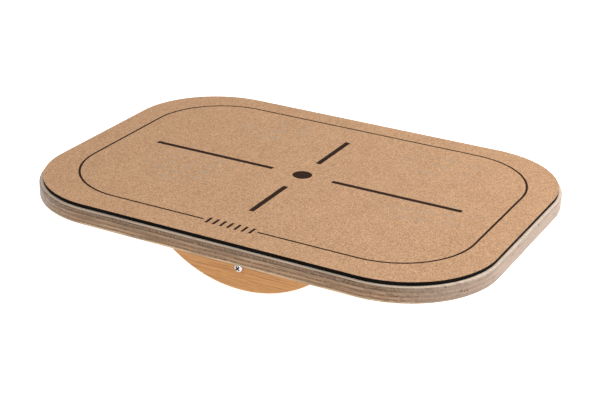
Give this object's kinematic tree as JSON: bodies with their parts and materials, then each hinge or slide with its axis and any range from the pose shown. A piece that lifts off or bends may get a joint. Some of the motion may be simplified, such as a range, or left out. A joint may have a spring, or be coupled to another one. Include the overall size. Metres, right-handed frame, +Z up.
{
  "type": "balance board",
  "caption": "Rocker balance board with a rounded plywood deck, cork-topped rubber mat and arc-shaped wooden rockers that tilt it from side to side.",
  "frame": {"origin": "on the floor under the middle of the deck, where the level board's rockers touch", "axes": "+X along the deck's long side, the way it tilts; +Y towards the rear rocker; +Z up"},
  "size_m": [0.45, 0.32, 0.0689],
  "materials": {
    "plywood": "hardwood plywood, clear matt lacquer, veneers showing at the edge",
    "rubber": "matt black",
    "cork": "fine agglomerated cork with dark burnt markings",
    "rocker_wood": "warm tan hardwood, fine straight grain along the deck, satin lacquer",
    "beech": "round bar, sanded",
    "zinc_plated_steel": "bright zinc plate"
  },
  "bodies": {
    "root": {"plywood_deck": "plywood", "rubber_backing": "rubber", "cork_sheet": "cork", "rocker_front": "rocker_wood", "rocker_rear": "rocker_wood", "stretcher_bar": "beech", "stretcher_screw_front": "zinc_plated_steel", "stretcher_screw_rear": "zinc_plated_steel", "deck_screw_front_1": "zinc_plated_steel", "deck_screw_front_2": "zinc_plated_steel", "deck_screw_front_3": "zinc_plated_steel", "deck_screw_front_4": "zinc_plated_steel", "deck_screw_rear_1": "zinc_plated_steel", "deck_screw_rear_2": "zinc_plated_steel", "deck_screw_rear_3": "zinc_plated_steel", "deck_screw_rear_4": "zinc_plated_steel"}
  },
  "joints": []
}
